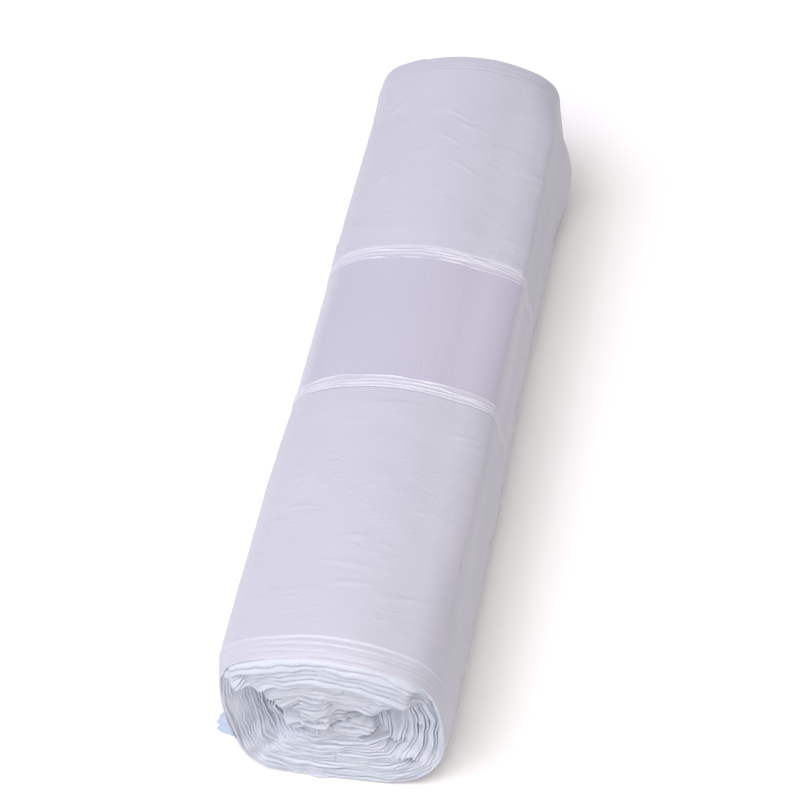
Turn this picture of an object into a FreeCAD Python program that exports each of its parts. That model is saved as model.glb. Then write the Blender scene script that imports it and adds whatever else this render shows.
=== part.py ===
import FreeCAD, Part
import math
import os

# A coreless roll of white film bin bags, lying on its side, with a stretch-film band round its waist.
# Millimetres, +Z up. The roll lies along Y and its near end is at low Y. Left is -X, seen from there.
# The origin is below the middle of the roll, on the surface that it lies on.

# Size of the roll
ROLL_LENGTH = 250.0
ROLL_WIDTH = 65.0
ROLL_HEIGHT = 60.0

# Rounding of its squashed section
TOP_CROWN_RADIUS = 50.0
SIDE_CROWN_RADIUS = 80.0
TOP_LEFT_RADIUS = 14.0
TOP_RIGHT_RADIUS = 17.0
BOTTOM_LEFT_RADIUS = 16.5
BOTTOM_RIGHT_RADIUS = 22.0

# Rim strip of each end, where the outermost turns stand back from the end
RIM_STRIP_WIDTH = 6.0
RIM_STEP = 0.4

# Stretch-film band, with bunched film at both edges
BAND_WIDTH = 59.3
BAND_CENTRE_Y = 3.35
BAND_THICKNESS = 0.35
BAND_EDGE_WIDTH = 6.0
BAND_RIDGES = 2
BAND_RIDGE_HEIGHT = 0.3

# Waist that the band pulls into the roll
WAIST_DEPTH = 1.25

# Hollow end, where the looser turns show
OUTER_TURNS_WALL = 3.6
HOLLOW_DEPTH = 7.0

# Film turns in the hollow end: one spiral wall, each turn of it set deeper than the last
TURNS = 7
TURN_GAP_SHARE = 0.42
OUTER_TURN_RADIUS = 13.0
INNER_TURN_RADIUS = 1.6
TURN_CLEARANCE = 0.9
CROWN_CLEARANCE = 2.6
FIRST_TURN_SETBACK = 0.6
CORE_TURN_SETBACK = 4.2

# Flat core that the winding began on
CORE_WIDTH = 23.0
CORE_HEIGHT = 4.0
CORE_DEPTH = 11.0
CORE_CENTRE_X = -1.0
CORE_CENTRE_Z = 28.0

# Loose film that stands out from the sides: the last bag's torn corner, low on the left of the
# near end, and a flared turn on the right of the far end
LOOSE_FILM = 0.4
LOOSE_REACH = 2.0
LOOSE_SETBACK = 0.8
LOOSE_ROOT = 2.6
CORNER_TOP_Z = 27.0
CORNER_BOTTOM_Z = 15.5
CORNER_TOOTH = 0.8
FLARE_TOP_Z = 43.0
FLARE_TIP_Z = 30.0
FLARE_BOTTOM_Z = 20.0

# Length that a cutter runs past the face it opens
OVERRUN = 1.0


def mix(start, end, share):
    """Value between two others."""
    return start + (end - start) * share


def crossing(centre_a, radius_a, centre_b, radius_b):
    """Upper crossing of two circles in the section plane, as (x, z)."""
    dx = centre_b[0] - centre_a[0]
    dz = centre_b[1] - centre_a[1]
    apart = math.hypot(dx, dz)
    along = (radius_a ** 2 - radius_b ** 2 + apart ** 2) / (2 * apart)
    aside = math.sqrt(radius_a ** 2 - along ** 2)
    foot_x = centre_a[0] + along * dx / apart
    foot_z = centre_a[1] + along * dz / apart
    first = (foot_x - aside * dz / apart, foot_z + aside * dx / apart)
    second = (foot_x + aside * dz / apart, foot_z - aside * dx / apart)
    return max(first, second, key=lambda point: point[1])


def outward(centre, start, length):
    """Point at a length from start, on the line from start through centre."""
    dx = centre[0] - start[0]
    dz = centre[1] - start[1]
    apart = math.hypot(dx, dz)
    return (start[0] + dx / apart * length, start[1] + dz / apart * length)


def section_circles():
    """Centre and radius of the seven arcs of the section, anticlockwise from the bottom right."""
    middle = ROLL_HEIGHT / 2
    top = (0.0, ROLL_HEIGHT - TOP_CROWN_RADIUS)
    right = (ROLL_WIDTH / 2 - SIDE_CROWN_RADIUS, middle)
    left = (SIDE_CROWN_RADIUS - ROLL_WIDTH / 2, middle)

    def upper_corner(side, radius):
        return crossing(top, TOP_CROWN_RADIUS - radius, side, SIDE_CROWN_RADIUS - radius)

    def lower_corner(side, radius, way):
        reach = math.sqrt((SIDE_CROWN_RADIUS - radius) ** 2 - (middle - radius) ** 2)
        return (side[0] + way * reach, radius)

    return [
        (lower_corner(right, BOTTOM_RIGHT_RADIUS, 1), BOTTOM_RIGHT_RADIUS),
        (right, SIDE_CROWN_RADIUS),
        (upper_corner(right, TOP_RIGHT_RADIUS), TOP_RIGHT_RADIUS),
        (top, TOP_CROWN_RADIUS),
        (upper_corner(left, TOP_LEFT_RADIUS), TOP_LEFT_RADIUS),
        (left, SIDE_CROWN_RADIUS),
        (lower_corner(left, BOTTOM_LEFT_RADIUS, -1), BOTTOM_LEFT_RADIUS),
    ]


def outline(y, inset):
    """Closed section wire at a place along the roll, drawn in from the outer skin by an inset."""
    circles = section_circles()
    joints = [(circles[0][0][0], 0.0)]
    for (centre_a, radius_a), (centre_b, radius_b) in zip(circles, circles[1:]):
        if radius_a < radius_b:
            joints.append(outward(centre_a, centre_b, radius_b))
        else:
            joints.append(outward(centre_b, centre_a, radius_a))
    joints.append((circles[-1][0][0], 0.0))

    edges = []
    for (centre, radius), start, end in zip(circles, joints, joints[1:]):
        reach = radius - inset
        first = outward(start, centre, reach)
        last = outward(end, centre, reach)
        half_way = outward(((first[0] + last[0]) / 2, (first[1] + last[1]) / 2), centre, reach)
        points = [FreeCAD.Vector(x, y, z) for x, z in (first, half_way, last)]
        edges.append(Part.Arc(*points).toShape())
    underside = Part.LineSegment(edges[-1].Vertexes[-1].Point, edges[0].Vertexes[0].Point)
    edges.append(underside.toShape())
    return Part.Wire(edges)


def slab(start_y, end_y, inset):
    """Straight length of the section, drawn in from the outer skin by an inset."""
    face = Part.Face(outline(start_y, inset))
    return face.extrude(FreeCAD.Vector(0, end_y - start_y, 0))


def stack(stations):
    """Solid of slabs end to end. Each station is its start and inset, and the last is its end."""
    slabs = []
    for (start_y, inset), (end_y, _) in zip(stations, stations[1:]):
        slabs.append(slab(start_y, end_y, inset))
    return slabs[0].fuse(slabs[1:])


def band_low():
    """Place of the waist's near edge."""
    return BAND_CENTRE_Y - BAND_WIDTH / 2


def band_high():
    """Place of the waist's far edge."""
    return BAND_CENTRE_Y + BAND_WIDTH / 2


def roll_skin():
    """Outside of the roll: rim strips, plain lengths and the waist under the band."""
    end = ROLL_LENGTH / 2
    stations = [
        (-end, RIM_STEP),
        (-end + RIM_STRIP_WIDTH, 0.0),
        (band_low(), WAIST_DEPTH),
        (band_high(), 0.0),
        (end - RIM_STRIP_WIDTH, RIM_STEP),
        (end, RIM_STEP),
    ]
    return stack(stations)


def turn_sides(share):
    """Left, bottom, right and top of a turn. Share is 0 at the hollow's wall and 1 at the core."""
    half_width = ROLL_WIDTH / 2 - OUTER_TURNS_WALL - TURN_CLEARANCE
    bottom = OUTER_TURNS_WALL + TURN_CLEARANCE
    top = ROLL_HEIGHT - OUTER_TURNS_WALL - CROWN_CLEARANCE
    left = mix(-half_width, CORE_CENTRE_X - CORE_WIDTH / 2, share)
    right = mix(half_width, CORE_CENTRE_X + CORE_WIDTH / 2, share)
    bottom = mix(bottom, CORE_CENTRE_Z - CORE_HEIGHT / 2, share)
    top = mix(top, CORE_CENTRE_Z + CORE_HEIGHT / 2, share)
    return left, bottom, right, top


def turn_corner(shift, number):
    """Corner of the spiral, counted in quarter turns, and its radius. Shift sets it further in."""
    share = shift + number / (4 * TURNS)
    here = turn_sides(share)[number % 4]
    after = turn_sides(share + 1 / (4 * TURNS))[(number + 1) % 4]
    radius = mix(OUTER_TURN_RADIUS, INNER_TURN_RADIUS, share)
    if number % 2:
        return after, here, radius
    return here, after, radius


def turn_side(shift, turn, y):
    """Edges of one face of one turn, from halfway down its left side and round to it again."""
    corners = [turn_corner(shift, 4 * turn + step) for step in range(4)]
    start_x = corners[0][0]
    end_x = turn_sides(shift + (turn + 1) / TURNS)[0]
    path = [(start_x, CORE_CENTRE_Z)]
    path += [(x, z) for x, z, _ in corners]
    path += [(end_x, CORE_CENTRE_Z)]
    points = [FreeCAD.Vector(x, y, z) for x, z in path]

    edges = []
    start = points[0]
    for before, corner, after, (_, _, radius) in zip(points, points[1:], points[2:], corners):
        back = (before - corner).normalize() * radius
        ahead = (after - corner).normalize() * radius
        middle = corner + (back + ahead) * (1 - math.sqrt(0.5))
        edges.append(Part.LineSegment(start, corner + back).toShape())
        edges.append(Part.Arc(corner + back, middle, corner + ahead).toShape())
        start = corner + ahead
    edges.append(Part.LineSegment(start, points[-1]).toShape())
    return edges


def film_turns():
    """The looser turns inside the near end, from the outermost in."""
    near_y = -ROLL_LENGTH / 2
    floor_y = near_y + HOLLOW_DEPTH
    film = (1 - TURN_GAP_SHARE) / TURNS
    turns = []
    for turn in range(TURNS - 1):
        outer = turn_side(0.0, turn, floor_y)
        inner = turn_side(film, turn, floor_y)
        start = Part.LineSegment(outer[0].Vertexes[0].Point, inner[0].Vertexes[0].Point)
        end = Part.LineSegment(outer[-1].Vertexes[-1].Point, inner[-1].Vertexes[-1].Point)
        face = Part.Face(Part.Wire(outer + [end.toShape()] + inner[::-1] + [start.toShape()]))
        setback = mix(FIRST_TURN_SETBACK, CORE_TURN_SETBACK, turn / (TURNS - 2))
        turns.append(face.extrude(FreeCAD.Vector(0, near_y + setback - floor_y, 0)))
    return turns


def hollow_cutter():
    """Tool that opens the near end round the looser turns."""
    start_y = -ROLL_LENGTH / 2 - OVERRUN
    return slab(start_y, start_y + OVERRUN + HOLLOW_DEPTH, OUTER_TURNS_WALL)


def core_cutter():
    """Tool that opens the flat core at the near end."""
    radius = CORE_HEIGHT / 2
    reach = CORE_WIDTH / 2 - radius
    y = -ROLL_LENGTH / 2 - OVERRUN

    def point(across, up):
        return FreeCAD.Vector(CORE_CENTRE_X + across, y, CORE_CENTRE_Z + up)

    edges = [
        Part.LineSegment(point(-reach, -radius), point(reach, -radius)),
        Part.Arc(point(reach, -radius), point(reach + radius, 0), point(reach, radius)),
        Part.LineSegment(point(reach, radius), point(-reach, radius)),
        Part.Arc(point(-reach, radius), point(-reach - radius, 0), point(-reach, -radius)),
    ]
    face = Part.Face(Part.Wire([edge.toShape() for edge in edges]))
    return face.extrude(FreeCAD.Vector(0, OVERRUN + CORE_DEPTH, 0))


def skin_reach(z):
    """Distance from the middle plane to the skin of either side at a height."""
    side_centre = SIDE_CROWN_RADIUS - ROLL_WIDTH / 2
    return math.sqrt(SIDE_CROWN_RADIUS ** 2 - (z - ROLL_HEIGHT / 2) ** 2) - side_centre


def loose_film(profile, y):
    """Flat piece of film across the roll, from its outline as pairs of x and z."""
    points = [FreeCAD.Vector(x, y, z) for x, z in profile]
    wire = Part.makePolygon(points + points[:1])
    return Part.Face(wire).extrude(FreeCAD.Vector(0, LOOSE_FILM, 0))


def torn_corner():
    """Toothed corner of the last bag, at the near end."""
    middle_z = (CORNER_TOP_Z + CORNER_BOTTOM_Z) / 2
    tip = ROLL_WIDTH / 2 + LOOSE_REACH
    profile = [
        (LOOSE_ROOT - skin_reach(CORNER_TOP_Z), CORNER_TOP_Z - CORNER_TOOTH),
        (RIM_STEP - skin_reach(CORNER_TOP_Z), CORNER_TOP_Z),
        (-tip, middle_z + CORNER_TOOTH),
        (CORNER_TOOTH - tip, middle_z),
        (-tip, middle_z - CORNER_TOOTH),
        (2 * CORNER_TOOTH - tip, middle_z - 2 * CORNER_TOOTH),
        (CORNER_TOOTH - tip, middle_z - 3.5 * CORNER_TOOTH),
        (LOOSE_ROOT - skin_reach(CORNER_BOTTOM_Z), CORNER_BOTTOM_Z),
    ]
    return loose_film(profile, -ROLL_LENGTH / 2 + LOOSE_SETBACK)


def flared_turn():
    """Turn that stands out from the right side at the far end."""
    profile = [
        (skin_reach(FLARE_TOP_Z) - RIM_STEP, FLARE_TOP_Z),
        (ROLL_WIDTH / 2 + LOOSE_REACH, FLARE_TIP_Z),
        (skin_reach(FLARE_BOTTOM_Z) - RIM_STEP, FLARE_BOTTOM_Z),
        (skin_reach(FLARE_BOTTOM_Z) - LOOSE_ROOT, FLARE_TIP_Z),
    ]
    return loose_film(profile, ROLL_LENGTH / 2 - LOOSE_SETBACK - LOOSE_FILM)


def bag_roll():
    """The wound bags: one solid with hollow ends, their turns and the loose film."""
    middle = FreeCAD.Vector(0, 0, 0)
    along = FreeCAD.Vector(0, 1, 0)
    body = roll_skin()
    for tool in (hollow_cutter(), core_cutter()):
        body = body.cut([tool, tool.mirror(middle, along)])
    near_turns = film_turns()
    far_turns = [turn.mirror(middle, along) for turn in near_turns]
    return body.fuse(near_turns + far_turns + [torn_corner(), flared_turn()])


def wrap_band():
    """The stretch-film band: a closed ring with ridged edges that fills the waist."""
    flat = WAIST_DEPTH - BAND_THICKNESS
    pitch = BAND_EDGE_WIDTH / BAND_RIDGES
    stations = []
    for ridge in range(BAND_RIDGES):
        stations.append((band_low() + ridge * pitch, flat - BAND_RIDGE_HEIGHT))
        stations.append((band_low() + (ridge + 0.5) * pitch, flat))
    for ridge in range(BAND_RIDGES):
        start_y = band_high() - BAND_EDGE_WIDTH + ridge * pitch
        stations.append((start_y + 0.5 * pitch, flat - BAND_RIDGE_HEIGHT))
        stations.append((start_y + pitch, flat))
    ring = stack(stations)
    inside = slab(band_low() - OVERRUN, band_high() + OVERRUN, WAIST_DEPTH)
    return ring.cut(inside)


os.makedirs("parts", exist_ok=True)
for node, shape in (("bag_roll", bag_roll()), ("wrap_band", wrap_band())):
    box = shape.BoundBox
    print(node, "solids", len(shape.Solids), "valid", shape.isValid(), "volume %.0f" % shape.Volume)
    print("  x %.2f %.2f" % (box.XMin, box.XMax), "y %.2f %.2f" % (box.YMin, box.YMax))
    print("  z %.2f %.2f" % (box.ZMin, box.ZMax), "faces", len(shape.Faces))
    shape.Solids[0].exportStep("parts/%s.step" % node)
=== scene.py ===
import sys
import logging
import math
import random
from collections.abc import Callable
from dataclasses import dataclass, field
from enum import Enum

import bmesh
import bpy
from mathutils import Matrix, Vector, noise


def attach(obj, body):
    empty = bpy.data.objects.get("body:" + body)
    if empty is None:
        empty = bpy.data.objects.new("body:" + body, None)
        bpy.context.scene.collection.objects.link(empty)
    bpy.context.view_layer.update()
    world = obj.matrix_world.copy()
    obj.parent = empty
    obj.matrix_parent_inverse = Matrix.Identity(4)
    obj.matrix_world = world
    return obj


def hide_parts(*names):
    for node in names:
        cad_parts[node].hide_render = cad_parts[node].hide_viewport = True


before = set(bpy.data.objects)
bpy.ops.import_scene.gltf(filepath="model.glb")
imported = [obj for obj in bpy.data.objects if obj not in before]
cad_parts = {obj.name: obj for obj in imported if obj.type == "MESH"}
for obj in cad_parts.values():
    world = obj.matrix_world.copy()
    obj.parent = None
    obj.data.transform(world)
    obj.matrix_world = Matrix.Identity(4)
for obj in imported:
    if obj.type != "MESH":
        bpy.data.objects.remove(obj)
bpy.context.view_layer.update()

# A coreless roll of white bin bags in blown film, with a stretch-film band round its waist. The
# roll lies along Y with its near end at low Y. Lengths are in millimetres until a piece is made an
# object, which is in metres. Points of a sheet within the joining distance are one point.
METRES = 0.001
JOINING_DISTANCE = 0.0005
log = logging.getLogger("bag_roll")


class End(Enum):
    """Ends of the roll, as the sign of their Y."""

    NEAR = -1
    FAR = 1


class Slot(Enum):
    """Material slots of the record."""

    BAGS = "bag_film"
    BAND = "band_film"


def mix(start: float, end: float, share: float) -> float:
    """Value between two others."""
    return start + (end - start) * share


def ease(value: float, start: float, end: float) -> float:
    """Share from 0 to 1 of a value between two others, eased at both ends."""
    share = min(max((value - start) / (end - start), 0.0), 1.0)
    return share * share * (3 - 2 * share)


def bell(value: float, centre: float, spread: float) -> float:
    """Bell curve: 1 at its centre."""
    return math.exp(-((value - centre) / spread) ** 2)


def ripple(x: float, y: float, z: float, seed: float) -> float:
    """Smooth noise from about -1 to 1, at places already divided by its wavelengths."""
    return noise.noise(Vector((x + seed, y - seed, z + 2 * seed)))


@dataclass(frozen=True)
class Waves:
    """Smooth random waves in the film: their height, and their lengths along x, y and z."""

    height: float
    along_x: float
    along_y: float
    along_z: float
    seed: float

    def at(self, x: float, y: float, z: float, shift: float = 0.0) -> float:
        """Height at a place, with a shift added to the seed."""
        places = (x / self.along_x, y / self.along_y, z / self.along_z)
        return self.height * ripple(*places, self.seed + shift)


@dataclass
class Section:
    """Squashed round section of the roll, walked clockwise from the middle of its top."""

    width: float = 65.0
    height: float = 60.0
    top_crown: float = 50.0
    side_crown: float = 80.0
    top_left: float = 14.0
    top_right: float = 17.0
    bottom_left: float = 16.5
    bottom_right: float = 22.0
    samples: int = 4200
    perimeter: float = field(init=False)
    table: list[tuple[float, float, float, float]] = field(init=False, repr=False)

    def __post_init__(self) -> None:
        """Walks the arcs once, and keeps places and outward directions at even steps."""
        top = (0.0, self.height - self.top_crown)
        right = (self.width / 2 - self.side_crown, self.height / 2)
        left = (self.side_crown - self.width / 2, self.height / 2)
        corners = [
            self._upper(top, right, self.top_right),
            self._lower(right, self.bottom_right, 1),
            self._lower(left, self.bottom_left, -1),
            self._upper(top, left, self.top_left),
        ]
        turns = [
            self._angle(top, corners[0]),
            self._angle(right, corners[0]),
            self._angle(right, corners[1]),
            -math.pi / 2,
            self._angle(left, corners[2]),
            self._angle(left, corners[3]),
            self._angle(top, corners[3]),
        ]
        arcs = [
            (top, self.top_crown, math.pi / 2, turns[0]),
            (corners[0], self.top_right, turns[0], turns[1]),
            (right, self.side_crown, turns[1], turns[2]),
            (corners[1], self.bottom_right, turns[2], turns[3]),
            None,
            (corners[2], self.bottom_left, turns[3], turns[4]),
            (left, self.side_crown, turns[4], turns[5] - 2 * math.pi),
            (corners[3], self.top_left, turns[5], turns[6]),
            (top, self.top_crown, turns[6], math.pi / 2),
        ]
        flat = corners[1][0] - corners[2][0]
        lengths = [flat if arc is None else arc[1] * abs(arc[3] - arc[2]) for arc in arcs]
        self.perimeter = sum(lengths)
        self.table = []
        arc_number = 0
        passed = 0.0
        for step in range(self.samples + 1):
            place = min(step * self.perimeter / self.samples, self.perimeter)
            while arc_number < len(arcs) - 1 and place > passed + lengths[arc_number]:
                passed += lengths[arc_number]
                arc_number += 1
            arc = arcs[arc_number]
            if arc is None:
                self.table.append((corners[1][0] - (place - passed), 0.0, 0.0, -1.0))
                continue
            centre, radius, start, _ = arc
            angle = start - (place - passed) / radius
            across, up = math.cos(angle), math.sin(angle)
            self.table.append((centre[0] + radius * across, centre[1] + radius * up, across, up))

    def _upper(self, top: tuple, side: tuple, radius: float) -> tuple[float, float]:
        """Centre of an upper corner: the upper crossing of the crowns' circles, drawn in.

        Args:
            top: x and z of the centre of the top's crown.
            side: x and z of the centre of the side's crown.
            radius: radius of the corner.

        Returns:
            x and z of the corner's centre.
        """
        reach_a = self.top_crown - radius
        reach_b = self.side_crown - radius
        dx = side[0] - top[0]
        dz = side[1] - top[1]
        apart = math.hypot(dx, dz)
        along = (reach_a ** 2 - reach_b ** 2 + apart ** 2) / (2 * apart)
        aside = math.sqrt(reach_a ** 2 - along ** 2)
        foot = (top[0] + along * dx / apart, top[1] + along * dz / apart)
        first = (foot[0] - aside * dz / apart, foot[1] + aside * dx / apart)
        second = (foot[0] + aside * dz / apart, foot[1] - aside * dx / apart)
        return max(first, second, key=lambda point: point[1])

    def _lower(self, side: tuple, radius: float, way: int) -> tuple[float, float]:
        """Centre of a lower corner, which rests on the floor."""
        rise = self.height / 2 - radius
        return (side[0] + way * math.sqrt((self.side_crown - radius) ** 2 - rise ** 2), radius)

    @staticmethod
    def _angle(start: tuple, end: tuple) -> float:
        """Direction of one point from another."""
        return math.atan2(end[1] - start[1], end[0] - start[0])

    def at(self, place: float) -> tuple[float, float, float, float]:
        """Point of the section and its outward direction.

        Args:
            place: length along the section from the middle of the top, positive to the right.

        Returns:
            x, z, and the x and z of the outward direction.
        """
        spot = (place / self.perimeter % 1.0) * self.samples
        before = int(spot)
        share = spot - before
        first = self.table[before]
        second = self.table[min(before + 1, self.samples)]
        return tuple(mix(a, b, share) for a, b in zip(first, second))


def along_table(table: tuple, place: float) -> float:
    """Value of a table at a place, eased from one of its pairs to the next.

    Args:
        table: pairs of place and value, in order.
        place: the place to look up.

    Returns:
        The value there.
    """
    if place <= table[0][0]:
        return table[0][1]
    for (start, first), (end, second) in zip(table, table[1:]):
        if place < end:
            return mix(first, second, ease(place, start, end))
    return table[-1][1]


@dataclass(frozen=True)
class Form:
    """How the roll's outside departs from its plain section along its length.

    Each table gives Y and the distance outwards there, and corner_softness how round the corner's
    crest is. Places are lengths along the section from the middle of its top, positive to the right.
    """

    right_side: tuple = (
        (-125.0, 0.3), (-80.0, 0.7), (-55.0, 1.0), (-34.0, 1.7), (35.0, 1.9), (52.0, 2.3),
        (72.0, 2.6), (91.0, 1.6), (107.0, 1.2), (117.0, 0.0), (125.0, -0.6),
    )
    flared_turn: tuple = (
        (80.0, 0.0), (91.0, 1.5), (99.0, 3.1), (107.0, 3.4), (117.0, 0.6), (122.0, 0.0),
    )
    flare_place: float = 62.0
    flare_y: float = 91.0
    flare_slant: float = -0.25
    flare_spread: float = 16.0
    flare_end: tuple = (66.0, 84.0)
    side_start: tuple = (34.0, 47.0)
    side_end: tuple = (62.0, 84.0)
    left_shoulder: tuple = (
        (-125.0, 0.5), (-118.0, 1.0), (-60.0, 0.9), (-30.0, 0.3), (30.0, 0.3), (60.0, -0.1),
        (100.0, -0.4), (125.0, 0.3),
    )
    shoulder_place: float = -38.0
    shoulder_spread: float = 15.0
    right_corner: tuple = (
        (-125.0, 0.0), (-100.0, 2.0), (-60.0, 3.4), (-34.0, 4.0), (35.0, 4.6), (95.0, 4.2),
        (125.0, 1.0),
    )
    corner_softness: tuple = (
        (-125.0, 5.0), (-34.0, 3.0), (35.0, 1.3), (95.0, 1.0), (125.0, 3.0),
    )
    corner_place: float = 33.2
    corner_reach: float = 12.0
    top_reach: float = 17.0

    def out(self, place: float, y: float) -> float:
        """How far the film stands outside the plain section.

        Args:
            place: length along the section.
            y: place along the roll.

        Returns:
            Distance outwards, in millimetres.
        """
        side = ease(place, *self.side_start) * (1 - ease(place, *self.side_end))
        rise = along_table(self.right_side, y) * side
        fold = self.flare_place + self.flare_slant * (y - self.flare_y)
        flare = along_table(self.flared_turn, y) * bell(place, fold, self.flare_spread)
        rise += flare * (1 - ease(place, *self.flare_end))
        shoulder = bell(place, self.shoulder_place, self.shoulder_spread)
        rise += along_table(self.left_shoulder, y) * shoulder
        off = math.hypot(place - self.corner_place, along_table(self.corner_softness, y))
        reach = self.top_reach if place < self.corner_place else self.corner_reach
        rise += along_table(self.right_corner, y) * max(0.0, 1 - off / reach) ** 2
        return rise


def film(columns: int, rows: int, place: Callable[[float, int], tuple]) -> bmesh.types.BMesh:
    """Flat sheet of film, with each of its points carried to its place.

    Args:
        columns: faces along the sheet.
        rows: faces across the sheet.
        place: gives x, y and z for a share of the sheet's length and a row number.

    Returns:
        The sheet as a mesh in millimetres, with points that meet joined.
    """
    sheet = bmesh.new()
    bmesh.ops.create_grid(sheet, x_segments=columns, y_segments=rows, size=1.0)
    for vertex in sheet.verts:
        share = (vertex.co.x + 1) / 2
        row = round((vertex.co.y + 1) / 2 * rows)
        vertex.co = place(share, row)
    bmesh.ops.remove_doubles(sheet, verts=sheet.verts, dist=JOINING_DISTANCE)
    return sheet


def close_ends(sheet: bmesh.types.BMesh) -> None:
    """Closes every open loop of a tube with one face."""
    rim = [edge for edge in sheet.edges if edge.is_boundary]
    bmesh.ops.holes_fill(sheet, edges=rim, sides=0)


def make_piece(
    name: str,
    sheet: bmesh.types.BMesh,
    finish: bpy.types.Material,
    slot: Slot,
    node: str,
) -> bpy.types.Object:
    """Makes a finished sheet an object that rides on the roll.

    Args:
        name: the piece's name.
        sheet: its mesh in millimetres, which is used up.
        finish: its material.
        slot: the record's slot that the material belongs to; not used.
        node: the CAD node that the piece stands for.

    Returns:
        The new object.
    """
    bmesh.ops.recalc_face_normals(sheet, faces=sheet.faces)
    bmesh.ops.scale(sheet, vec=(METRES, METRES, METRES), verts=sheet.verts)
    for face in sheet.faces:
        face.smooth = True
    mesh = bpy.data.meshes.new(name)
    sheet.to_mesh(mesh)
    sheet.free()
    mesh.materials.append(finish)
    piece = bpy.data.objects.new(name, mesh)
    bpy.context.scene.collection.objects.link(piece)
    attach(piece, "root")
    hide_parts(node)
    return piece


def thicken(piece: bpy.types.Object, thickness: float) -> None:
    """Gives a sheet of film its thickness, half to each side."""
    wall = piece.modifiers.new("film thickness", "SOLIDIFY")
    wall.thickness = thickness * METRES
    wall.offset = 0.0


def linear(code: str) -> tuple[float, float, float, float]:
    """Turns an sRGB colour to a linear one.

    Args:
        code: the six hex digits of the colour.

    Returns:
        Red, green, blue and alpha.
    """
    values = [int(code[start:start + 2], 16) / 255 for start in (0, 2, 4)]
    turned = [v / 12.92 if v <= 0.04045 else ((v + 0.055) / 1.055) ** 2.4 for v in values]
    return (*turned, 1.0)


def add_node(
    tree: bpy.types.NodeTree,
    kind: str,
    settings: dict | None = None,
    inputs: dict | None = None,
) -> bpy.types.Node:
    """Adds a node with its settings and links.

    Args:
        tree: the node tree of the material or world.
        kind: the node's type.
        settings: attributes of the node.
        inputs: value or linked output for each named or numbered input.

    Returns:
        The new node.
    """
    node = tree.nodes.new(kind)
    for name, value in (settings or {}).items():
        setattr(node, name, value)
    for name, value in (inputs or {}).items():
        if isinstance(value, bpy.types.NodeSocket):
            tree.links.new(value, node.inputs[name])
        else:
            node.inputs[name].default_value = value
    return node


def new_tree(name: str) -> tuple[bpy.types.Material, bpy.types.NodeTree, bpy.types.NodeSocket]:
    """Starts a material.

    Args:
        name: the material's name.

    Returns:
        The material, its empty node tree and the output of its object coordinates.
    """
    material = bpy.data.materials.new(name)
    material.use_nodes = True
    tree = material.node_tree
    tree.nodes.clear()
    places = add_node(tree, "ShaderNodeTexCoord")
    return material, tree, places.outputs["Object"]


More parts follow.
